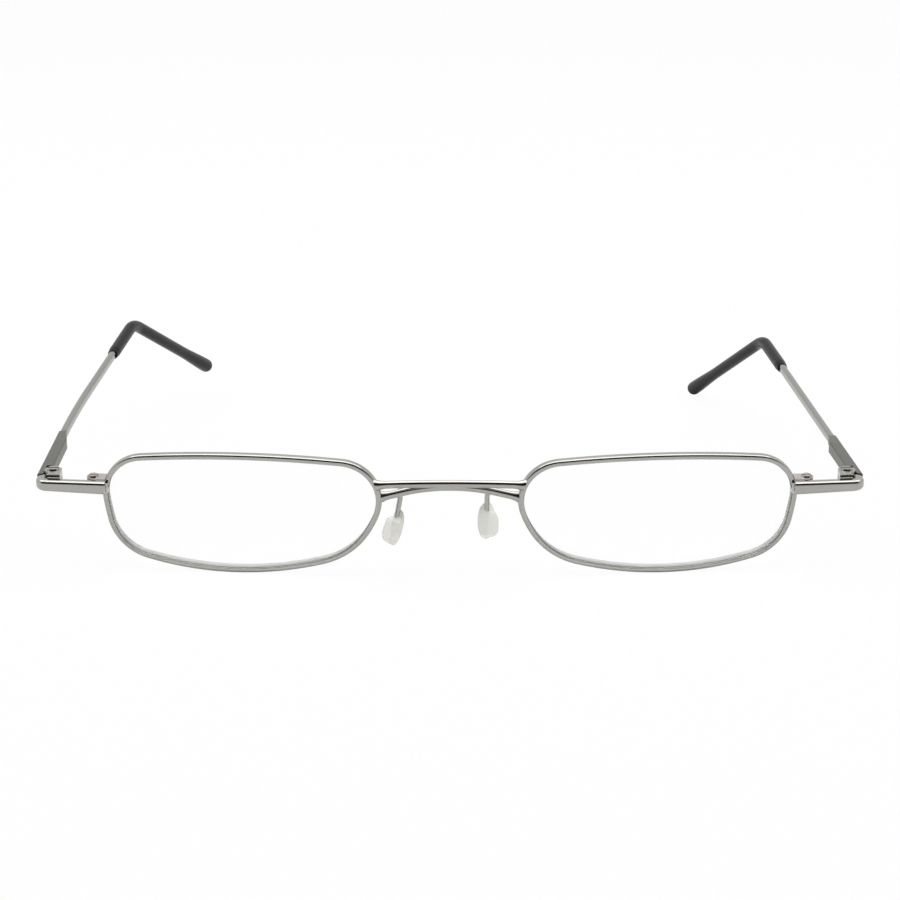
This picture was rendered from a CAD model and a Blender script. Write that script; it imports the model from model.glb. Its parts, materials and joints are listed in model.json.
"""Slim metal reading glasses: finishes, smooth pieces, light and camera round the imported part.

Sizes in the classes are millimetres and degrees, and a mesh is made in metres.
X runs across the front, Y back along the temples, Z up from the table.
"""

import json
import logging
import math
from dataclasses import dataclass, field
from enum import Enum, IntEnum
from typing import List, Mapping, Optional, Sequence, Tuple, TypeVar, Union

import bpy
import numpy as np
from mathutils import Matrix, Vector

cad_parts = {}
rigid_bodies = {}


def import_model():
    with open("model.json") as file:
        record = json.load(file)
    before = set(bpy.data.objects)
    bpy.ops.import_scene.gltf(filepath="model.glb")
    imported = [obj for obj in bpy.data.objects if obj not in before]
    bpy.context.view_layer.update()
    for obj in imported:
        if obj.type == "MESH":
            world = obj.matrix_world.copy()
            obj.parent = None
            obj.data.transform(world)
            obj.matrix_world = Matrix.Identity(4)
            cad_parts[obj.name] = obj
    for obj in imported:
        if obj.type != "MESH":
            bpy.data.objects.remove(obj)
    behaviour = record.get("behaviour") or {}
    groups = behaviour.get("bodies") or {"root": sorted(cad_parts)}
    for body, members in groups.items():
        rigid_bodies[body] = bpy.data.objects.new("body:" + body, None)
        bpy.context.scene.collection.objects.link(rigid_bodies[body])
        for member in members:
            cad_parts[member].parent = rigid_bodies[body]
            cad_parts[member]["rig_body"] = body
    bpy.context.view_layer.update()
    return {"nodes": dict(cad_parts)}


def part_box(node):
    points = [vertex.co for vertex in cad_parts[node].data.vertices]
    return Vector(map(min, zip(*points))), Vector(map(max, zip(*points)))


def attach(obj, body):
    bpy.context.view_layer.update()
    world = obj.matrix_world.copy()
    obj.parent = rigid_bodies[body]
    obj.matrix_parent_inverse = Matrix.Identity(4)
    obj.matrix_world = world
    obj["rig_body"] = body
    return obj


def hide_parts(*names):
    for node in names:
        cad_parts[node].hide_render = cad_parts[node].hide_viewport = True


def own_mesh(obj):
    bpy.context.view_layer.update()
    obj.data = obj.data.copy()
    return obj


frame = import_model()

Array = np.ndarray
Piece = bpy.types.Object
Material = bpy.types.Material
Pair = Tuple[float, float]
Triple = Tuple[float, float, float]
Item = TypeVar("Item")
MM = 0.001
WHITE = (1.0, 1.0, 1.0)
LOG = logging.getLogger("reading_glasses")


class Side(Enum):
    """The two halves of the glasses, by the sign of X."""

    LEFT = -1
    RIGHT = 1

    @property
    def word(self) -> str:
        """The side's word in a piece's name."""
        return self.name.lower()

    def pick(self, pair: Tuple[Item, Item]) -> Item:
        """Returns the side's own of a pair, which is left, then right."""
        return pair[0 if self is Side.LEFT else 1]


def shift(x: float, y: float, z: float) -> Array:
    """Returns the 4 x 4 matrix of a move across, back and up."""
    return np.eye(4) + np.outer((x, y, z, 0), (0, 0, 0, 1))


def turn(axis: int, degrees: float) -> Array:
    """Gives the matrix of a turn about one axis.

    Args:
        axis: 0, 1 or 2 for X, Y or Z.
        degrees: Angle by the right-hand rule.

    Returns:
        A 4 x 4 matrix.
    """
    c, s = math.cos(math.radians(degrees)), math.sin(math.radians(degrees))
    i, j = (axis + 1) % 3, (axis + 2) % 3
    m = np.eye(4)
    m[i, i], m[i, j], m[j, i], m[j, j] = c, -s, s, c
    return m


def placed(matrix: Array, points: Array) -> Array:
    """Returns points, of any grid shape, moved by a 4 x 4 matrix."""
    return points @ matrix[:3, :3].T + matrix[:3, 3]


@dataclass(frozen=True)
class Layout:
    """Where the rims, hinges and temples stand. Pairs are left, then right."""

    lens_spacing: float = 71.0
    rim_forward: float = 3.3
    wrap: float = 5.5
    lens_tilt: float = 7.9
    bridge_z: float = 1.5
    pin: Triple = (67.8, 5.2, 0.15)
    hinge_lean: float = 4.3
    toe: Pair = (1.85, 4.25)
    rise: Pair = (1.8, -0.6)
    bow: Pair = (3.3, 0.0)
    bow_r: float = 400.0
    bow_start: float = 21.0
    temple_mid: float = 2.025

    def on_table(self) -> Array:
        """Finds the table's frame by the place of the bridge's upper bar.

        Returns:
            A 4 x 4 matrix, from the frame in which the sizes are given to the row frame.
        """
        low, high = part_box("bridge_upper_bar")
        y = (low.y + high.y) / 2 / MM + self.rim_forward
        z = (low.z + high.z) / 2 / MM - self.bridge_z
        return shift(0, y, z)

    def on_side(self, side: Side) -> Array:
        """Returns the table's frame, mirrored for the left half."""
        return self.on_table() @ np.diag([side.value, 1.0, 1.0, 1.0])

    def in_rim(self, side: Side) -> Array:
        """Returns the frame of one rim: X outward, Y back, Z up the lens."""
        stand = shift(self.lens_spacing / 2, -self.rim_forward, 0)
        return self.on_side(side) @ stand @ turn(2, self.wrap) @ turn(0, self.lens_tilt)

    def in_hinge(self, side: Side) -> Array:
        """Returns the frame of one hinge: the pin stands on the origin."""
        return self.on_side(side) @ shift(*self.pin) @ turn(0, self.hinge_lean)

    def in_temple(self, side: Side) -> Array:
        """Returns the frame of one temple: the pin on the origin, Y along the temple."""
        return self.in_hinge(side) @ turn(2, side.pick(self.toe)) @ turn(0, side.pick(self.rise))

    def in_wire(self, side: Side) -> Array:
        """Turns a temple's frame about its bow's centre, to the wire behind the bow.

        Args:
            side: The temple's half.

        Returns:
            A 4 x 4 matrix. Y is the length along the temple from the pin.
        """
        bow = side.pick(self.bow)
        start = shift(self.temple_mid - self.bow_r, self.bow_start, 0)
        back = shift(self.bow_r, -self.bow_start - self.bow_r * math.radians(bow), 0)
        return self.in_temple(side) @ start @ turn(2, bow) @ back


def in_scene(name: str, data: bpy.types.ID) -> Piece:
    """Adds an object to the scene.

    Args:
        name: Its name.
        data: Its mesh, lamp or camera.

    Returns:
        The object, at the origin.
    """
    made = bpy.data.objects.new(name, data)
    bpy.context.scene.collection.objects.link(made)
    return made


def signed_volume(points: Array, quads: Array) -> float:
    """Returns the sum of the quads' tetrahedra from the mean: above 0 if the quads face outward."""
    p = points[quads] - points.mean(0)
    return sum(float((p[:, 0] * np.cross(p[:, k], p[:, k + 1])).sum()) for k in (1, 2)) / 6


def skin(
    name: str,
    rings: Array,
    start: Optional[Array] = None,
    end: Optional[Array] = None,
    sharp: float = 38.0,
) -> Piece:
    """Joins rings of points into one closed skin with outward faces.

    Quad i, j joins point j of ring i to its neighbours on the ring and on the next ring.

    Args:
        name: The piece's name.
        rings: Points in millimetres, rings x points x 3, in the row frame.
        start: A pole before the first ring, or None for a flat cap.
        end: A pole behind the last ring, or None for a flat cap.
        sharp: Edges that bend more than this many degrees stay sharp.

    Returns:
        The new object, at the origin.
    """
    m, n = rings.shape[:2]
    i, j = np.meshgrid(np.arange(m - 1), np.arange(n), indexing="ij")
    k, up = (j + 1) % n, i + 1
    quads = np.stack([i * n + j, i * n + k, up * n + k, up * n + j], -1).reshape(-1, 4)
    points = rings.reshape(-1, 3)
    way = -1 if signed_volume(points, quads) < 0 else 1
    faces = quads[:, ::way].tolist()
    for pole, ring in ((start, np.arange(n)[::-1]), (end, np.arange(n) + (m - 1) * n)):
        if pole is None:
            faces.append(ring[::way].tolist())
        else:
            apex = np.full(n, len(points))
            points = np.vstack([points, pole])
            faces += np.stack([apex, ring, np.roll(ring, -1)], -1)[:, ::way].tolist()
    mesh = bpy.data.meshes.new(name)
    mesh.from_pydata((points * MM).tolist(), [], faces)
    mesh.validate()
    mesh.polygons.foreach_set("use_smooth", np.ones(len(mesh.polygons), bool))
    mesh.set_sharp_from_angle(angle=math.radians(sharp))
    mesh.update()
    return in_scene(name, mesh)


def unit(vectors: Array) -> Array:
    """Returns vectors, which run along the last axis, at length 1."""
    return vectors / np.linalg.norm(vectors, axis=-1, keepdims=True)


def filleted(corners: Sequence[Triple], steps: int = 6) -> Array:
    """Rounds a flat outline's corners with arcs that touch both sides.

    Args:
        corners: x, y and radius of each corner, in order.
        steps: Points on each arc.

    Returns:
        Points of the rounded outline, n x 2.
    """
    spots = np.array([c[:2] for c in corners])
    out = []
    for k, (_, _, radius) in enumerate(corners):
        here, before, after = spots[k], spots[k - 1], spots[(k + 1) % len(spots)]
        if radius == 0:
            out.append(here[None])
            continue
        a, b = unit(before - here), unit(after - here)
        half = math.acos(float(np.clip(a @ b, -1, 1))) / 2
        middle = here + unit(a + b) * radius / math.sin(half)
        first = here + a * radius / math.tan(half) - middle
        last = here + b * radius / math.tan(half) - middle
        sweep = math.atan2(first[0] * last[1] - first[1] * last[0], float(first @ last))
        t = np.linspace(0, sweep, steps)[:, None]
        side = np.array([-first[1], first[0]])
        out.append(middle + first * np.cos(t) + side * np.sin(t))
    return np.vstack(out)


def lengths(path: Array) -> Array:
    """Returns the length along a path up to each of its points."""
    return np.concatenate([[0], np.cumsum(np.linalg.norm(np.diff(path, axis=0), axis=1))])


def bulge(share: Array, power: int = 2) -> Array:
    """Returns the root of 1 less a power of the share: 1 in the middle, 0 at the edge."""
    return np.sqrt(np.clip(1 - share**power, 0, 1))


def smooth_path(path: Array, spacing: float, blur: float) -> Array:
    """Spaces a path's points evenly, then takes the mean of each point's neighbourhood.

    Args:
        path: Points, n x 3.
        spacing: Distance between the new points.
        blur: Length that the mean is taken over. The two ends stay.

    Returns:
        The new points.
    """
    along = lengths(path)
    even = np.linspace(0, along[-1], int(along[-1] / spacing) + 2)
    fine = np.stack([np.interp(even, along, path[:, k]) for k in range(3)], -1)
    width = max(1, int(blur / spacing / 2))
    weights = np.hanning(2 * width + 3)[1:-1]
    padded = np.vstack([np.repeat(fine[:1], width, 0), fine, np.repeat(fine[-1:], width, 0)])
    mean = [np.convolve(padded[:, k], weights / weights.sum(), "valid") for k in range(3)]
    out = np.stack(mean, -1)
    out[0], out[-1] = fine[0], fine[-1]
    return out


def tube(path: Array, radii: Array, sides: int, lean: Triple) -> Array:
    """Puts a circle square to a path at each of its points.

    Its first axis is the path's direction crossed with a fixed one, its second square to both.

    Args:
        path: Points, n x 3.
        radii: Radius at each point.
        sides: Points on each circle.
        lean: The fixed direction, never along the path.

    Returns:
        Rings, n x sides x 3.
    """
    ahead = unit(np.gradient(path, axis=0))
    a = unit(np.cross(ahead, lean))
    b = np.cross(ahead, a)
    t = np.linspace(0, 2 * np.pi, sides, endpoint=False)
    circle = np.cos(t)[None, :, None] * a[:, None] + np.sin(t)[None, :, None] * b[:, None]
    return path[:, None] + radii[:, None, None] * circle


Value = Union["Signal", float, Triple]
Key = Union[str, int]
Inputs = Optional[Mapping[Key, Value]]


class Signal:
    """A socket's number that Python arithmetic works on."""

    def __init__(self, tree: "Tree", socket: bpy.types.NodeSocket) -> None:
        """Wraps one output socket of a tree."""
        self.tree = tree
        self.socket = socket

    def _math(self, operation: str, other: Value) -> "Signal":
        """Returns the result of one Math node."""
        return self.tree.out("ShaderNodeMath", {0: self, 1: other}, operation=operation)

    def __add__(self, other: Value) -> "Signal":
        """Returns self + other."""
        return self._math("ADD", other)

    def __mul__(self, other: Value) -> "Signal":
        """Returns self * other."""
        return self._math("MULTIPLY", other)

    def most(self, other: Value) -> "Signal":
        """Returns the larger of self and other."""
        return self._math("MAXIMUM", other)


class Tree:
    """The node tree of a material or the world, built from nothing."""

    def __init__(self, owner: Union[Material, bpy.types.World]) -> None:
        """Turns the owner's nodes on and takes away those that it has.

        Args:
            owner: The material or world.
        """
        owner.use_nodes = True
        self.tree = owner.node_tree
        self.tree.nodes.clear()

    def add(self, kind: str, inputs: Inputs = None, **settings: object) -> bpy.types.Node:
        """Adds one node.

        Args:
            kind: Blender's type name.
            inputs: A number, colour or signal for each socket, by its name or number.
            settings: The node's properties, set before the inputs.

        Returns:
            The node.
        """
        node = self.tree.nodes.new(kind)
        for key, value in settings.items():
            setattr(node, key, value)
        for key, value in (inputs or {}).items():
            socket = node.inputs[key]
            if isinstance(value, Signal):
                self.tree.links.new(value.socket, socket)
            else:
                socket.default_value = (*value, 1.0) if socket.type == "RGBA" else value
        return node

    def out(self, kind: str, inputs: Inputs = None, output: Key = 0, **settings: object) -> Signal:
        """Adds one node as add() does, and returns one of its outputs."""
        return Signal(self, self.add(kind, inputs, **settings).outputs[output])

    def noise(self, spots: Signal, per_mm: float, detail: float, rough: float = 0.5) -> Signal:
        """Returns cloudy noise from 0 to 1, with about per_mm spots to a millimetre."""
        inputs = {"Vector": spots, "Scale": per_mm / MM, "Detail": detail, "Roughness": rough}
        return self.out("ShaderNodeTexNoise", inputs, "Fac")

    def blend(self, factor: Signal, low: Triple, high: Triple) -> Signal:
        """Mixes low, at factor 0, with high, at 1. A Mix node's colour sockets go by number."""
        return self.out("ShaderNodeMix", {0: factor, 6: low, 7: high}, 2, data_type="RGBA")

    def finish(self, surface: Signal, kind: str = "Material") -> None:
        """Ends the tree in its output node."""
        self.add(f"ShaderNodeOutput{kind}", {"Surface": surface})


@dataclass(frozen=True)
class Finish:
    """A surface with cloudy colour, uneven gloss and a fine texture."""

    name: str
    dark: Triple
    light: Triple
    rough: Pair
    grain_height: float
    cloud_per_mm: float = 0.25
    grain_per_mm: float = 9.0
    stretch: Triple = (1.0, 1.0, 1.0)
    cloud_share: float = 0.7
    metallic: float = 0.0
    constants: Mapping[str, Value] = field(default_factory=dict)

    def material(self) -> Material:
        """Builds the material.

        Returns:
            The material, in which colour, roughness and bump follow Object coordinates.
        """
        made = bpy.data.materials.new(self.name)
        tree = Tree(made)
        spots = tree.out("ShaderNodeTexCoord", output="Object")
        stretched = tree.out("ShaderNodeMapping", {"Vector": spots, "Scale": self.stretch})
        cloud = tree.noise(spots, self.cloud_per_mm, detail=4.0)
        grain = tree.noise(stretched, self.grain_per_mm, detail=2.0, rough=0.6)
        mixed = cloud * self.cloud_share + grain * (1 - self.cloud_share)
        low, high = self.rough
        relief = {"Strength": 1.0, "Distance": self.grain_height * MM, "Height": grain}
        inputs = {
            "Base Color": tree.blend(mixed, self.dark, self.light),
            "Roughness": mixed * (high - low) + low,
            "Normal": tree.out("ShaderNodeBump", relief, "Normal"),
            "Metallic": self.metallic,
            **self.constants,
        }
        tree.finish(tree.out("ShaderNodeBsdfPrincipled", inputs))
        return made


@dataclass(frozen=True)
class Metal(Finish):
    """A finish of bare or plated metal."""

    metallic: float = 1.0


class Finishes:
    """The finishes of the real object, each made once."""

    def __init__(self) -> None:
        """Makes every material."""
        self.silver = Metal(
            "polished_silver", (0.385, 0.38, 0.36), (0.475, 0.47, 0.445), (0.1, 0.19), 0.0005
        ).material()
        self.drawn = Metal(
            "drawn_wire_silver", (0.3, 0.296, 0.28), (0.375, 0.37, 0.35), (0.16, 0.26), 0.001,
            stretch=(5.0, 0.5, 5.0),
        ).material()
        self.brazed = Metal(
            "brazed_silver", (0.42, 0.39, 0.365), (0.56, 0.53, 0.5), (0.2, 0.34), 0.004
        ).material()
        self.steel = Metal(
            "screw_steel", (0.3, 0.295, 0.28), (0.46, 0.45, 0.43), (0.18, 0.32), 0.002,
            stretch=(1.0, 1.0, 6.0),
        ).material()
        self.spring = Metal(
            "spring_steel", (0.2, 0.2, 0.2), (0.34, 0.335, 0.325), (0.25, 0.4), 0.002,
            stretch=(5.0, 1.0, 1.0),
        ).material()
        self.satin = Metal(
            "satin_silver", (0.125, 0.124, 0.116), (0.17, 0.169, 0.157), (0.3, 0.42), 0.001,
            stretch=(4.0, 0.6, 4.0),
        ).material()
        self.lens = Finish(
            "lens_clear", (0.985, 0.99, 0.988), WHITE, (0.0, 0.02), 0.00002,
            cloud_per_mm=0.08, grain_per_mm=1.0, constants={"Transmission Weight": 1.0, "IOR": 1.2},
        ).material()
        self.ground = Finish(
            "lens_ground_edge", (0.42, 0.425, 0.41), (0.56, 0.565, 0.55), (0.5, 0.7), 0.004,
            cloud_per_mm=0.4, grain_per_mm=14.0,
        ).material()
        self.pad = Finish(
            "pad_clear_soft", (0.93, 0.93, 0.88), (0.98, 0.98, 0.945), (0.18, 0.28), 0.0015,
            cloud_per_mm=0.5, grain_per_mm=2.5, constants={"Transmission Weight": 0.6, "IOR": 1.3},
        ).material()
        self.tip = Finish(
            "tip_soft_black", (0.0045, 0.0048, 0.005), (0.0095, 0.0098, 0.01), (0.22, 0.34), 0.003,
            cloud_per_mm=0.3, grain_per_mm=12.0, constants={"Specular IOR Level": 0.085},
        ).material()


def dress(piece: Piece, material: Material) -> None:
    """Gives a piece one material on all of its faces.

    Args:
        piece: The object. Its slots stay as many as they are, or become one.
        material: Its finish.
    """
    if not piece.material_slots:
        piece.data.materials.append(material)
    for held in piece.material_slots:
        held.material = material


def stand_in(piece: Piece, node: str, material: Material) -> None:
    """Shows a piece in place of a CAD node, on that node's body.

    Args:
        piece: The new object.
        node: The CAD node that it stands for.
        material: Its finish.
    """
    dress(piece, material)
    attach(piece, frame["nodes"][node]["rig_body"])
    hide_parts(node)
    own = np.empty(len(piece.data.vertices) * 3, np.float32)
    piece.data.vertices.foreach_get("co", own)
    own = own.reshape(-1, 3)
    low, high = (np.array(corner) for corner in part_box(node))
    off = max(np.abs(own.min(0) - low).max(), np.abs(own.max(0) - high).max()) / MM
    LOG.info("%s stands for %s, box off by %.2f mm", piece.name, node, off)


def dress_nodes(side: Side, parts: Sequence[str], material: Material) -> None:
    """Gives CAD nodes that stay a better material.

    Args:
        side: Their half.
        parts: Their names, without the side's word.
        material: Their finish.
    """
    for part in parts:
        name = f"{side.word}_{part}"
        dress(frame["nodes"][name], material)
        LOG.info("%s keeps its CAD shape, in %s", name, material.name)


@dataclass
class Assembly:
    """A sub-assembly: the layout that it stands in and the finishes that it wears."""

    layout: Layout
    finishes: Finishes


class Corner(IntEnum):
    """The corners of a rim's outline, counterclockwise from the hinge's side."""

    TOP_TEMPLE = 0
    TOP_NOSE = 1
    LOW_NOSE = 2
    LOW_TEMPLE = 3


@dataclass
class RimOutline:
    """The closed curve round a rim: four corner arcs joined by four long arcs.

    The corners stand a little inside the box that the rise, the drop and the reach give.
    """

    rise: float = 6.7
    drop: float = 15.4
    reach: float = 23.85
    corner_radii: Tuple[float, ...] = (7.9, 7.6, 12.9, 8.7)
    corner_insets: Tuple[Pair, ...] = ((0.0, 0.98), (0.0, 1.08), (0.2, 1.35), (0.45, 1.5))
    side_radii: Tuple[float, ...] = (134.0, 18.0, 66.0, 72.0)
    lock_height: float = -0.2
    lock_gap: float = 0.3
    step: float = 0.55

    def corner_centres(self) -> Array:
        """Finds each corner arc's centre: its radius and its inset inside the walls of the box.

        Returns:
            The centres in the order of Corner, 4 x 2.
        """
        ways = np.array([[1, 1], [-1, 1], [-1, -1], [1, -1]])
        walls = np.array([[self.reach, z] for z in (self.rise, self.rise, self.drop, self.drop)])
        return ways * (walls - np.array(self.corner_radii)[:, None] - np.array(self.corner_insets))

    def side_centre(self, k: int) -> Array:
        """Finds the centre of the long arc that touches corner arcs k and k + 1 inside.

        Args:
            k: Number of the side, 0 for the top.

        Returns:
            The point whose distances from the two corner centres are the radii's differences.
        """
        centres, j = self.corner_centres(), (k + 1) % 4
        r1 = self.side_radii[k] - self.corner_radii[k]
        r2 = self.side_radii[k] - self.corner_radii[j]
        d = float(np.linalg.norm(centres[j] - centres[k]))
        e = (centres[j] - centres[k]) / d
        a = (r1 * r1 - r2 * r2 + d * d) / (2 * d)
        return centres[k] + a * e + math.sqrt(r1 * r1 - a * a) * np.array([-e[1], e[0]])

    def arcs(self) -> List[Tuple[Array, float, float, float]]:
        """Lists the outline's arcs: each ends where the line through two centres meets it.

        Returns:
            Centre, radius, first and last angle of the eight arcs, from the first corner.
        """
        centres, found, full = self.corner_centres(), [], 2 * math.pi
        for k in Corner:
            start = centres[k] - self.side_centre((k + 3) % 4)
            middle = centres[k] - self.side_centre(k)
            end = centres[(k + 1) % 4] - self.side_centre(k)
            a, b, c = (math.atan2(v[1], v[0]) for v in (start, middle, end))
            b += full * math.ceil((a - b) / full)
            c += full * math.ceil((b - c) / full)
            found.append((centres[k], self.corner_radii[k], a, b))
            found.append((self.side_centre(k), self.side_radii[k], b, c))
        return found

    def stations(self, split: bool) -> Array:
        """Spaces stations along the outline.

        Args:
            split: True to start over the lock's gap and end under it.

        Returns:
            Centre x, centre y, radius and angle of each station, n x 4.
        """
        arcs = self.arcs()
        centre, radius, first, last = arcs[0]
        if split:
            high = math.asin((self.lock_height + self.lock_gap / 2 - centre[1]) / radius)
            low = math.asin((self.lock_height - self.lock_gap / 2 - centre[1]) / radius)
            arcs[0] = (centre, radius, high, last)
            arcs.append((centre, radius, first, low))
        rows = []
        for k, (c, r, a, b) in enumerate(arcs):
            n = max(3, int(abs(b - a) * r / self.step))
            keep_last = split and k == len(arcs) - 1
            t = np.linspace(a, b, n + 1)[: n + 1 if keep_last else n]
            rows.append(np.stack(np.broadcast_arrays(*c, r, t), -1))
        return np.vstack(rows)


@dataclass
class Fronts(Assembly):
    """Both rims and both lenses."""

    outline: RimOutline = field(default_factory=RimOutline)
    wire_t: float = 0.9
    wire_w: float = 1.6
    groove_depth: float = 0.4
    groove_half: float = 0.4
    outer_round: float = 0.4
    inner_round: float = 0.16
    lip_round: float = 0.05
    base_radius: float = 130.0
    lens_front: float = 0.35
    lens_t: float = 2.6
    lens_edge_t: float = 2.0
    bevel_fit: float = 0.06
    bevel: float = 0.28
    lens_steps: int = 16

    def bowed(self, flat: Array, depth: Array) -> Array:
        """Bends flat points over the ball: back by the squared distance from the middle over 2 radii."""
        sag = (flat**2).sum(-1) / (2 * self.base_radius)
        return np.stack([flat[..., 0], depth + sag, flat[..., 1]], -1)

    @staticmethod
    def inset(stations: Array, depth: Array) -> Array:
        """Goes from the stations towards their arcs' centres, and returns stations x depths x 2."""
        reach, angle = stations[:, 2:3] - depth[None], stations[:, 3:4]
        return stations[:, None, :2] + np.stack([reach * np.cos(angle), reach * np.sin(angle)], -1)

    def rim(self, side: Side) -> Piece:
        """Carries the rounded, grooved section of the wire along the outline.

        Args:
            side: The rim's half.

        Returns:
            The rim.
        """
        t, w, g = self.wire_t, self.wire_w, self.groove_half
        out, inn, lip = self.outer_round, self.inner_round, self.lip_round
        groove = [(t, w / 2 + g, lip), (t - self.groove_depth, w / 2, 0), (t, w / 2 - g, lip)]
        section = filleted([(0, 0, out), (0, w, out), (t, w, inn), *groove, (t, 0, inn)])
        stations = self.outline.stations(split=True)
        flat = self.inset(stations, section[:, 0])
        rings = self.bowed(flat, np.broadcast_to(section[None, :, 1], flat.shape[:2]))
        return skin(f"{side.word}_eyewire", placed(self.layout.in_rim(side), rings), sharp=50)

    def lens(self, side: Side) -> Piece:
        """Sweeps the meniscus: front face, bevel in the groove, edge behind the wire, back face.

        A face is the outline shrunk towards the middle. The thickness falls with the square
        of the shrunk share, from the middle's to the edge's.

        Args:
            side: The lens's half.

        Returns:
            The lens.
        """
        stations = self.outline.stations(split=False)
        seat = self.wire_t + self.bevel_fit
        edge = self.inset(stations, np.array([seat]))[:, 0]
        apex = self.inset(stations, np.array([seat - self.bevel]))[:, 0]
        front, middle = self.lens_front, self.wire_w / 2
        shares = np.sin(np.linspace(0, math.pi / 2, self.lens_steps + 1))[1:]
        thick = self.lens_edge_t + (self.lens_t - self.lens_edge_t) * (1 - shares**2)
        flat = shares[:, None, None] * edge[None]
        ones = np.ones(flat.shape[:2])
        faces = [self.bowed(flat, ones * front), self.bowed(apex, ones[0] * middle)[None]]
        faces.append(self.bowed(edge, ones[0] * (2 * middle - front))[None])
        faces.append(self.bowed(flat, ones * (front + thick)[:, None])[::-1])
        place = self.layout.in_rim(side)
        poles = placed(place, np.array([[0, front, 0], [0, front + self.lens_t, 0]], float))
        rings = placed(place, np.concatenate(faces))
        return skin(f"{side.word}_clear_lens", rings, start=poles[0], end=poles[1], sharp=30)

    def grind(self, lens: Piece) -> None:
        """Gives the three strips of faces on a lens's bevel and edge the ground finish.

        Args:
            lens: The lens, whose strips of faces follow its rings.
        """
        around = len(self.outline.stations(split=False))
        ground = np.zeros(len(lens.data.polygons), np.int32)
        ground[(self.lens_steps - 1) * around : (self.lens_steps + 2) * around] = 1
        lens.data.materials.append(self.finishes.ground)
        lens.data.polygons.foreach_set("material_index", ground)

    def build(self) -> None:
        """Builds and dresses the rims and the lenses."""
        for side in Side:
            stand_in(self.rim(side), f"{side.word}_rim", self.finishes.silver)
            lens = self.lens(side)
            stand_in(lens, f"{side.word}_lens", self.finishes.lens)
            self.grind(lens)
            lens.visible_shadow = False


@dataclass
class RimLocks(Assembly):
    """The split blocks that close the rims, with their screws, all as the CAD has them."""

    def build(self) -> None:
        """Dresses the blocks and the screws."""
        for side in Side:
            dress_nodes(side, ["lock_upper", "lock_lower", "lock_screw"], self.finishes.brazed)


@dataclass(frozen=True)
class PadPlace:
    """One pad's centre, lean and splay, and the arm that reaches it."""

    x: float
    z: float
    lean: float
    splay: float
    reach: float
    knee: Pair
    end: Pair


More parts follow.
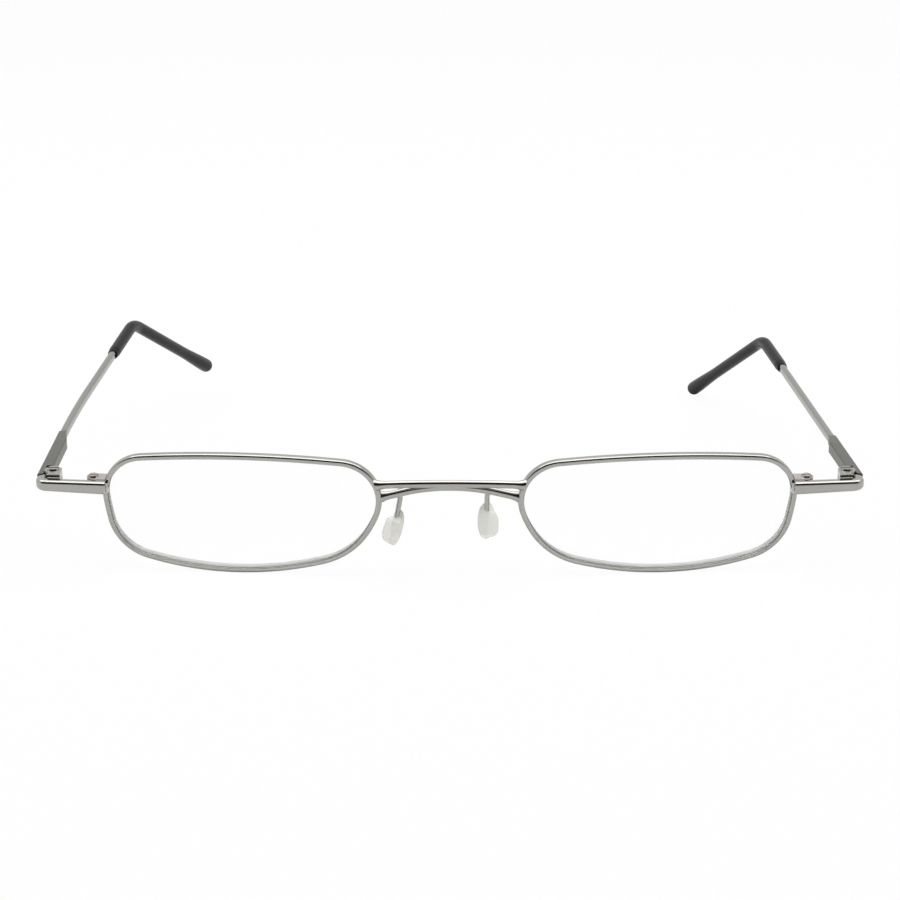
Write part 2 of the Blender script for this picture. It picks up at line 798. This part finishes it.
@dataclass
class NosePads(Assembly):
    """The wire behind the bridge and the two clear pads on its ends."""

    wire_r: float = 0.45
    wire_sides: int = 20
    wire_lean: Triple = (0, 1, 0.35)
    wire_z: float = 0.55
    wire_y: float = -1.05
    wire_step: float = 0.2
    wire_blur: float = 1.2
    curl: float = 1.6
    curl_pull: float = 0.6
    curl_lift: float = 0.2
    curl_steps: int = 40
    pad_y: float = 1.6
    size: Triple = (2.3, 4.4, 6.4)
    pad_grid: Tuple[int, int] = (63, 80)
    crowding: float = 0.8
    roundness: float = 2.3
    disc_t: float = 0.6
    disc_edge: float = 0.35
    inner_power: int = 3
    outer_power: int = 6
    boss: Pair = (-0.2, -0.45)
    boss_size: Pair = (3.2, 4.7)
    boss_roundness: float = 2.6
    boss_crown: float = 0.14
    boss_wall: float = 20.0
    places: Tuple[PadPlace, PadPlace] = (
        PadPlace(9.9, -7.5, 17, 26, 8.0, (8.5, -2.6), (9.1, -5.9)),
        PadPlace(6.8, -6.5, 3, 42, 7.2, (6.3, -2.2), (6.3, -4.8)),
    )

    def arm_path(self, side: Side) -> Array:
        """Follows one arm from the middle: a cubic curl back and down, then straight into the pad.

        Args:
            side: The arm's half.

        Returns:
            Points of the wire's middle line, n x 3.
        """
        place = side.pick(self.places)
        s, y, z = side.value, self.wire_y, self.wire_z
        (knee_x, knee_z), (end_x, end_z) = place.knee, place.end
        a = np.array([s * (place.reach - self.curl), y, z])
        b = np.array([s * (place.reach + self.curl_pull), y, z])
        c = np.array([s * (place.reach + knee_x) / 2, self.pad_y - self.curl_pull, z + self.curl_lift])
        d = np.array([s * knee_x, self.pad_y, knee_z])
        t = np.linspace(0, 1, self.curl_steps)[:, None]
        curl = (1 - t) ** 3 * a + 3 * (1 - t) ** 2 * t * b + 3 * (1 - t) * t * t * c + t**3 * d
        return np.vstack([curl, [[s * end_x, self.pad_y, end_z]]])

    def arms(self) -> Piece:
        """Builds the one bent wire.

        Returns:
            The wire.
        """
        path = np.vstack([self.arm_path(Side.LEFT)[::-1], self.arm_path(Side.RIGHT)])
        path = smooth_path(path, self.wire_step, self.wire_blur)
        rings = tube(path, np.full(len(path), self.wire_r), self.wire_sides, self.wire_lean)
        return skin("pad_arm_wire", placed(self.layout.on_table(), rings))

    def pad(self, side: Side) -> Piece:
        """Builds one pad: a thin disc towards the nose with a boss on its outer face.

        The outline is a superellipse, and k is the share of it from the middle to the edge.
        Both faces close on the edge like the root of 1 less a power of k. The boss stands on
        the outer face inside a smaller superellipse, with a steep wall and a crowned top.

        Args:
            side: The pad's half.

        Returns:
            The pad.
        """
        t, w, h = self.size
        rings, sides = self.pad_grid
        k = np.sin(np.linspace(0, math.pi / 2, rings + 1)[1:, None]) ** self.crowding
        b = np.linspace(0, 2 * math.pi, sides, endpoint=False)[None]
        p, q = self.roundness, self.boss_roundness
        outline = (np.abs(np.cos(b)) ** p + np.abs(np.sin(b)) ** p) ** (-1 / p)
        y, z = w / 2 * k * outline * np.cos(b), h / 2 * k * outline * np.sin(b)
        edge_x = self.disc_edge - t / 2
        inner = -t / 2 + (edge_x + t / 2) * (1 - bulge(k, self.inner_power)) + 0 * b
        disc = self.disc_t - t / 2 + (edge_x - self.disc_t + t / 2) * (1 - bulge(k, self.outer_power))
        (boss_y, boss_z), (boss_w, boss_h) = self.boss, self.boss_size
        off = (np.abs((y - boss_y) / boss_w * 2) ** q + np.abs((z - boss_z) / boss_h * 2) ** q) ** (1 / q)
        raised = (1 - self.boss_crown * off**2) / (1 + np.exp((off - 1) * self.boss_wall))
        outer = disc + (t / 2 - disc) * np.clip(raised, 0, 1)
        faces = ((inner, outer), (y, y), (z, z))
        grid = np.stack([np.concatenate([near, far[-2::-1]]) for near, far in faces], -1)
        poles = np.array([[-t / 2, 0, 0], [float(outer[0].mean()), 0, 0]])
        place = side.pick(self.places)
        stand = self.layout.on_side(side) @ shift(place.x, self.pad_y, place.z)
        stand = stand @ turn(1, -place.lean) @ turn(2, -place.splay)
        start, end = placed(stand, poles)
        return skin(f"{side.word}_soft_pad", placed(stand, grid), start=start, end=end)

    def build(self) -> None:
        """Builds and dresses the wire and the pads."""
        stand_in(self.arms(), "nose_pad_arms", self.finishes.silver)
        for side in Side:
            stand_in(self.pad(side), f"{side.word}_nose_pad", self.finishes.pad)


@dataclass
class Bridge(Assembly):
    """The two bars between the rims, whose ends are brazed to them."""

    outline: RimOutline = field(default_factory=RimOutline)
    upper_r: float = 0.65
    upper_bend: float = 350.0
    lower_r: float = 0.67
    lower_z: float = 0.66
    lower_bend: float = 35.0
    lower_back: float = 1.1
    free_reach: float = 8.4
    bar_grid: Tuple[int, int] = (61, 28)
    bury: float = 0.35
    braze: float = 0.3
    braze_l: float = 1.5
    tail_steps: int = 14

    def tail(self, side: Side, ring: Array, way: Array) -> Array:
        """Runs one end of a bar on into its rim, growing into the brazed joint.

        Each point goes straight on until it is inside the corner arc of the rim: its distance
        from the arc's axis is then the arc's radius less the buried length. Towards the rim
        the radius grows with the square of the nearness.

        Args:
            side: The rim's half.
            ring: The last ring of the free length, n x 3.
            way: Unit direction along the bar towards the rim.

        Returns:
            Rings, steps x n x 3.
        """
        inverse = np.linalg.inv(self.layout.in_rim(side))
        flat = placed(inverse, ring)[:, [0, 2]] - self.outline.corner_centres()[Corner.TOP_NOSE]
        step = (inverse[:3, :3] @ way)[[0, 2]]
        a, b = float(step @ step), flat @ step
        c = (flat**2).sum(1) - (self.outline.corner_radii[Corner.TOP_NOSE] - self.bury) ** 2
        run = (-b - np.sqrt(b * b - a * c)) / a
        share = np.linspace(0, 1, self.tail_steps + 1)[1:, None]
        left = np.clip(run * (1 - share) - self.bury, 0, None)
        grow = self.braze * np.clip(1 - left / self.braze_l, 0, 1) ** 2
        out = unit(ring - ring.mean(0))
        return ring + (run * share)[..., None] * way + grow[..., None] * out

    def bar(self, name: str, radius: float, back: float, crown: float, bend: float) -> Piece:
        """Builds one bar.

        Args:
            name: The piece's name.
            radius: Radius of the wire.
            back: Distance behind the upper bar.
            crown: Height of the middle.
            bend: Radius of the arch, which falls away evenly to both sides.

        Returns:
            The bar.
        """
        steps, sides = self.bar_grid
        x = np.linspace(-self.free_reach, self.free_reach, steps)
        z = crown - bend + np.sqrt(bend**2 - x**2)
        path = np.stack([x, np.full_like(x, back - self.layout.rim_forward), z], -1)
        rings = placed(self.layout.on_table(), tube(path, np.full_like(x, radius), sides, (0, 1, 0)))
        tails = []
        for side, last, before in ((Side.LEFT, 0, 1), (Side.RIGHT, -1, -2)):
            way = unit((rings[last] - rings[before]).mean(0))
            tails.append(self.tail(side, rings[last], way))
        return skin(name, np.concatenate([tails[0][::-1], rings, tails[1]]))

    def build(self) -> None:
        """Builds and dresses the bars."""
        upper = self.bar("upper_bridge_bar", self.upper_r, 0, self.layout.bridge_z, self.upper_bend)
        stand_in(upper, "bridge_upper_bar", self.finishes.silver)
        lower = self.bar("lower_bridge_bar", self.lower_r, self.lower_back, self.lower_z, self.lower_bend)
        stand_in(lower, "bridge_lower_bar", self.finishes.silver)


@dataclass
class EndPieces(Assembly):
    """The bars from the rims to the hinges, each with an elbow and a short leg."""

    bar_h: float = 1.9
    bar_d: float = 1.9
    edge: float = 0.6
    edge_steps: int = 9
    bar_in: Pair = (-10.1, -4.43)
    run_on: float = -0.25
    fine_l: float = 0.6
    sweep_l: float = 0.5
    sweep_back: float = 0.55
    sweep_power: float = 1.6
    sweep_thin: float = 0.12
    root_deeper: float = 0.36
    elbow_r: float = 1.25
    leg_x: float = 1.7
    butt_y: float = -0.9
    knuckle_room: float = 1.6
    fine_steps: int = 24
    bar_steps: int = 28
    elbow_steps: int = 25
    leg_steps: int = 16

    def middle_line(self) -> Tuple[Array, Array]:
        """Follows the bar, the elbow and the leg in the hinge's frame.

        Returns:
            Points, n x 2, and the direction's angle from X at each, in radians.
        """
        wrap = math.radians(self.layout.wrap)
        turn_x = self.leg_x - self.elbow_r
        x0, y0 = self.bar_in
        turn_y = y0 + (turn_x - x0) * math.tan(wrap) + self.elbow_r / math.cos(wrap)
        bend = np.linspace(wrap - math.pi / 2, 0, self.elbow_steps)
        elbow = np.stack([turn_x + self.elbow_r * np.cos(bend), turn_y + self.elbow_r * np.sin(bend)], -1)
        ahead = np.array([math.cos(wrap), math.sin(wrap)])
        length = float((elbow[0] - np.array(self.bar_in)) @ ahead)
        fine_end = self.fine_l - self.run_on
        fine = np.linspace(-self.run_on, fine_end, self.fine_steps)
        run = np.concatenate([fine, np.linspace(fine_end, length, self.bar_steps + 2)[1:-1]])
        bar = elbow[0] + (run - length)[:, None] * ahead
        leg_y = np.linspace(turn_y, self.butt_y, self.leg_steps + 1)[1:]
        leg = np.stack([np.full_like(leg_y, self.leg_x), leg_y], -1)
        angles = [np.full(len(bar), wrap), bend + math.pi / 2, np.full(len(leg), math.pi / 2)]
        return np.vstack([bar, elbow, leg]), np.concatenate(angles)

    def piece(self, side: Side) -> Piece:
        """Sweeps the rounded section, swept back into the rim and deeper below at that end.

        Points inside the knuckles' room round the pin are moved straight out to its wall.

        Args:
            side: The piece's half.

        Returns:
            The bar.
        """
        d, h, r = self.bar_d / 2, self.bar_h / 2, self.edge
        section = filleted([(-d, -h, r), (d, -h, r), (d, h, r), (-d, h, r)], self.edge_steps)
        path, angle = self.middle_line()
        out = np.stack([np.sin(angle), -np.cos(angle)], -1)
        spots = path[:, None] + section[None, :, :1] * out[:, None]
        along = lengths(path)
        near = np.clip(1 - along / self.sweep_l, 0, 1)
        spots[:, :, 1] += (self.sweep_back * near**self.sweep_power)[:, None]
        far = np.linalg.norm(spots, axis=2, keepdims=True)
        spots = spots * np.maximum(1, self.knuckle_room / far)
        level = section[None, :, 1:] * (1 - self.sweep_thin * near)[:, None, None]
        root = np.clip(1 - along / (self.leg_x - self.bar_in[0]), 0, 1)
        level = np.where(level < 0, level * (1 + self.root_deeper * root)[:, None, None], level)
        rings = np.concatenate([spots, level], -1)
        return skin(f"{side.word}_end_bar", placed(self.layout.in_hinge(side), rings), sharp=50)

    def build(self) -> None:
        """Builds and dresses both end pieces."""
        for side in Side:
            stand_in(self.piece(side), f"{side.word}_end_piece", self.finishes.silver)


@dataclass
class Hinges(Assembly):
    """Forks, screws, and the sprung tongues with their coils and nuts."""

    rod_x: float = 1.6
    collar_end: float = 6.0
    spring_l: float = 6.0
    spring_gap: float = 0.05
    chamber_r: float = 0.76
    rod_r: float = 0.33
    coil_wire_r: float = 0.11
    turns: int = 8
    turn_steps: int = 28
    wire_sides: int = 12
    flex_travel: float = 1.5

    def coil(self, side: Side) -> Piece:
        """Winds the spring: the wire's circle turns about the rod and climbs evenly along it.

        Args:
            side: The hinge's half.

        Returns:
            The spring.
        """
        run = self.spring_l - 2 * self.coil_wire_r - 2 * self.spring_gap
        share = np.linspace(0, 1, self.turns * self.turn_steps + 1)[:, None]
        around = share * self.turns * 2 * math.pi
        b = np.linspace(0, 2 * math.pi, self.wire_sides, endpoint=False)[None]
        r = (self.chamber_r + self.rod_r) / 2 + self.coil_wire_r * np.cos(b)
        climb = run * share + self.coil_wire_r * np.sin(b)
        rings = np.stack([r * np.cos(around), climb, -r * np.sin(around)], -1)
        start = self.collar_end + self.coil_wire_r + self.spring_gap
        place = self.layout.in_temple(side) @ shift(self.rod_x, start, 0)
        return skin(f"{side.word}_coil_spring", placed(place, rings))

    def build(self) -> None:
        """Builds the springs, which the slide squashes against the nut, and dresses the rest."""
        for side in Side:
            word = side.word
            coil = self.coil(side)
            stand_in(coil, f"{word}_hinge_spring", self.finishes.spring)
            rod = self.layout.in_temple(side)
            held_end = placed(rod, np.array([self.rod_x, self.collar_end + self.spring_l, 0.0])) * MM
            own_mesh(coil)
            dress_nodes(side, ["hinge_fork"], self.finishes.silver)
            dress_nodes(side, ["spring_tongue", "hinge_screw", "rod_nut"], self.finishes.steel)


@dataclass
class Temples(Assembly):
    """Spring housings, temple wires and the soft tips."""

    sleeve_start: float = 64.52
    bend_start: float = 80.5
    bend_r: float = 12.0
    bend_angle: float = 31.7
    bend_roll: float = 71.0
    tip_l: float = 41.0
    sleeve_r: float = 1.15
    tip_r: float = 1.45
    swell_l: float = 15.0
    mouth_r: float = 0.95
    mouth_l: float = 2.0
    mouth_edge: float = 0.15
    step: float = 0.4
    round_steps: int = 9
    sides: int = 32

    def middle_line(self) -> Array:
        """Follows the sleeve: straight, an arc about the bend's centre, straight again.

        Returns:
            Points in the flat frame of the bend, where X points out of the bend, n x 3.
        """
        lead = self.bend_start - self.sleeve_start
        angle = math.radians(self.bend_angle)
        arc = self.bend_r * angle
        total = lead + arc + self.tip_l
        s = np.linspace(0, total, int(total / self.step))
        turned = np.clip((s - lead) / self.bend_r, 0, angle)
        past = np.clip(s - lead - arc, 0, None)
        x = -self.bend_r * (1 - np.cos(turned)) - past * math.sin(angle)
        y = np.minimum(s, lead) - lead + self.bend_r * np.sin(turned) + past * math.cos(angle)
        return np.stack([x, y, np.zeros_like(s)], -1)

    def radii(self, left: Array) -> Array:
        """Gives the sleeve's radius by the length that is left to its end.

        It widens behind its mouth, is even round the bend, swells by a smooth step towards the
        end and closes in a half circle. The mouth's edge is a small quarter circle.

        Args:
            left: Length from each point to the end, of which the first is the mouth's.

        Returns:
            The radius at each point.
        """
        t = np.clip(1 - (left - self.tip_r) / self.swell_l, 0, 1)
        body = self.sleeve_r + (self.tip_r - self.sleeve_r) * t * t * (3 - 2 * t)
        body = body * bulge(np.clip(1 - left / self.tip_r, 0, 1))
        inside = left[0] - left
        narrow = np.clip(1 - inside / self.mouth_l, 0, 1)
        body = body - (self.sleeve_r - self.mouth_r) * narrow
        edge = np.clip(1 - inside / self.mouth_edge, 0, 1)
        return body - self.mouth_edge * (1 - bulge(edge))

    def tip(self, side: Side) -> Piece:
        """Builds one soft tip: the mouth, the sleeve, the bend and the swollen, round end.

        Args:
            side: The tip's half.

        Returns:
            The tip.
        """
        path = self.middle_line()
        along = lengths(path)
        total = along[-1]
        quarter = np.linspace(0, math.pi / 2, self.round_steps)
        mouth = self.mouth_edge * (1 - np.cos(quarter))
        dome = total - self.tip_r * (1 - np.sin(quarter))
        body = along[(along > self.mouth_edge) & (along < total - self.tip_r)]
        s = np.concatenate([mouth, body, dome[:-1]])
        points = np.stack([np.interp(s, along, path[:, k]) for k in range(3)], -1)
        rings = tube(points, self.radii(total - s), self.sides, (0, 0, 1))
        bend = self.layout.in_wire(side) @ shift(0, self.bend_start, 0) @ turn(1, -self.bend_roll)
        return skin(f"{side.word}_tip_sleeve", placed(bend, rings), end=placed(bend, path[-1]), sharp=45)

    def build(self) -> None:
        """Builds the tips and dresses the housings and the wires."""
        for side in Side:
            stand_in(self.tip(side), f"{side.word}_temple_tip", self.finishes.tip)
            dress_nodes(side, ["spring_housing"], self.finishes.satin)
            dress_nodes(side, ["temple_wire"], self.finishes.drawn)


@dataclass(frozen=True)
class Card:
    """A glowing patch of a ball round the set, seen only in reflections.

    It reaches from the first to the last angle, counterclockwise from the camera's side, and
    from the low to the high angle over the table.
    """

    name: str
    first: float
    last: float
    low: float
    high: float
    level: float


@dataclass
class Studio:
    """Table, cards, lamp and camera, in metres, but the camera's place is in the layout's mm."""

    layout: Layout
    camera_place: Triple = (0.0, -403.86, 115.46)
    camera_down: float = 15.1
    lens: float = 99.36
    sensor: float = 36.0
    clip: float = 0.01
    floor_reach: float = 4.0
    floor_grey: Triple = (0.92, 0.92, 0.92)
    shadow_share: float = 0.05
    mirrored_share: float = 0.9
    world_light: float = 0.35
    cards: Tuple[Card, ...] = (
        Card("dusk_card", -70.0, 70.0, 3.0, 14.0, 0.16),
        Card("dark_card", -70.0, 70.0, 14.0, 66.0, 0.01),
        Card("grey_card", 70.0, 290.0, 3.0, 34.0, 0.8),
    )
    card_radius: float = 0.9
    card_grid: Tuple[int, int] = (49, 13)
    card_tint: Triple = (1.0, 1.0, 0.98)
    box_size: Pair = (1.6, 1.05)
    box_distance: float = 0.85
    box_elevation: float = 101.0
    box_light: float = 1.6

    @staticmethod
    def rays(tree: Tree) -> Tuple[Signal, Signal, Signal]:
        """Returns 1 or 0 for camera rays, for glossy rays and for transmission rays."""
        sockets = tree.add("ShaderNodeLightPath").outputs
        return tuple(Signal(tree, sockets[f"Is {way} Ray"]) for way in ("Camera", "Glossy", "Transmission"))

    def world(self) -> None:
        """Makes the surroundings white to look at and softer as a light."""
        world = bpy.data.worlds.new("studio")
        bpy.context.scene.world = world
        tree = Tree(world)
        camera, glossy, transmission = self.rays(tree)
        seen = camera.most(glossy).most(transmission)
        level = seen * (1 - self.world_light) + self.world_light
        tree.finish(tree.out("ShaderNodeBackground", {"Color": WHITE, "Strength": level}), "World")

    def floor(self) -> None:
        """Lays the white table, which keeps a faint shadow and lets what hangs below it show.

        To the camera, also through a lens, it is nearly clear before the white world. In
        mirrors it is matt with some glow, and from below it isn't there.
        """
        r = self.floor_reach
        mesh = bpy.data.meshes.new("table_top")
        mesh.from_pydata([(-r, -r, 0), (r, -r, 0), (r, r, 0), (-r, r, 0)], [], [(0, 1, 2, 3)])
        made = bpy.data.materials.new("white_table")
        tree = Tree(made)
        matt = tree.out("ShaderNodeBsdfDiffuse", {"Color": self.floor_grey})
        glow = tree.out("ShaderNodeEmission", {"Color": WHITE, "Strength": 1.0})
        clear = tree.out("ShaderNodeBsdfTransparent")
        camera, glossy, transmission = self.rays(tree)
        direct = camera.most(transmission) * (1 - self.shadow_share)
        shown = tree.out("ShaderNodeMixShader", {0: direct, 1: matt, 2: clear})
        lit = tree.out("ShaderNodeMixShader", {0: glossy * (1 - self.mirrored_share), 1: shown, 2: glow})
        under = tree.out("ShaderNodeNewGeometry", output="Backfacing")
        tree.finish(tree.out("ShaderNodeMixShader", {0: under, 1: lit, 2: clear}))
        mesh.materials.append(made)
        in_scene("table_top", mesh)

    def hang(self, card: Card) -> None:
        """Hangs one card.

        Args:
            card: Its angles and its brightness.
        """
        across, rows = self.card_grid
        angles = np.linspace(card.first, card.last, across), np.linspace(card.low, card.high, rows)
        angle, up = np.meshgrid(*(np.radians(a) for a in angles))
        ways = np.stack([np.sin(angle) * np.cos(up), -np.cos(angle) * np.cos(up), np.sin(up)], -1)
        i, j = np.meshgrid(np.arange(rows - 1), np.arange(across - 1), indexing="ij")
        k = i * across + j
        quads = np.stack([k, k + 1, k + across + 1, k + across], -1).reshape(-1, 4)
        mesh = bpy.data.meshes.new(card.name)
        mesh.from_pydata((self.card_radius * ways).reshape(-1, 3).tolist(), [], quads.tolist())
        made = bpy.data.materials.new(card.name)
        tree = Tree(made)
        tree.finish(tree.out("ShaderNodeEmission", {"Color": self.card_tint, "Strength": card.level}))
        mesh.materials.append(made)
        held = in_scene(card.name, mesh)
        for way in ("camera", "diffuse", "transmission", "volume_scatter", "shadow"):
            setattr(held, f"visible_{way}", False)

    def softbox(self) -> None:
        """Hangs the soft lamp over the front, aimed at the middle."""
        wide, deep = self.box_size
        lamp = bpy.data.lights.new("softbox", "AREA")
        lamp.shape, lamp.size, lamp.size_y = "RECTANGLE", wide, deep
        lamp.energy = self.box_light * math.pi * wide * deep
        held = in_scene("softbox", lamp)
        up = math.radians(self.box_elevation)
        held.location = (0, -self.box_distance * math.cos(up), self.box_distance * math.sin(up))
        held.rotation_euler = (math.radians(self.box_elevation - 90), 0, 0)

    def camera(self) -> None:
        """Stands the camera at the viewing angle of the photograph."""
        made = bpy.data.cameras.new("camera")
        made.lens, made.sensor_width, made.clip_start = self.lens, self.sensor, self.clip
        held = in_scene("camera", made)
        held.location = placed(self.layout.on_table(), np.array(self.camera_place)) * MM
        held.rotation_euler = (math.radians(90 - self.camera_down), 0, 0)
        bpy.context.scene.camera = held

    def build(self) -> None:
        """Sets up the stage."""
        bpy.context.scene.view_settings.view_transform = "Standard"
        self.world()
        self.floor()
        for card in self.cards:
            self.hang(card)
        self.softbox()
        self.camera()


def main() -> None:
    """Builds every sub-assembly and the stage."""
    logging.basicConfig(level=logging.INFO, format="%(message)s")
    layout, finishes = Layout(), Finishes()
    kinds = (Fronts, RimLocks, Bridge, NosePads, EndPieces, Hinges, Temples)
    for assembly in [*(kind(layout, finishes) for kind in kinds), Studio(layout)]:
        assembly.build()
        LOG.info("%s built", type(assembly).__name__)


if __name__ == "__main__":
    main()
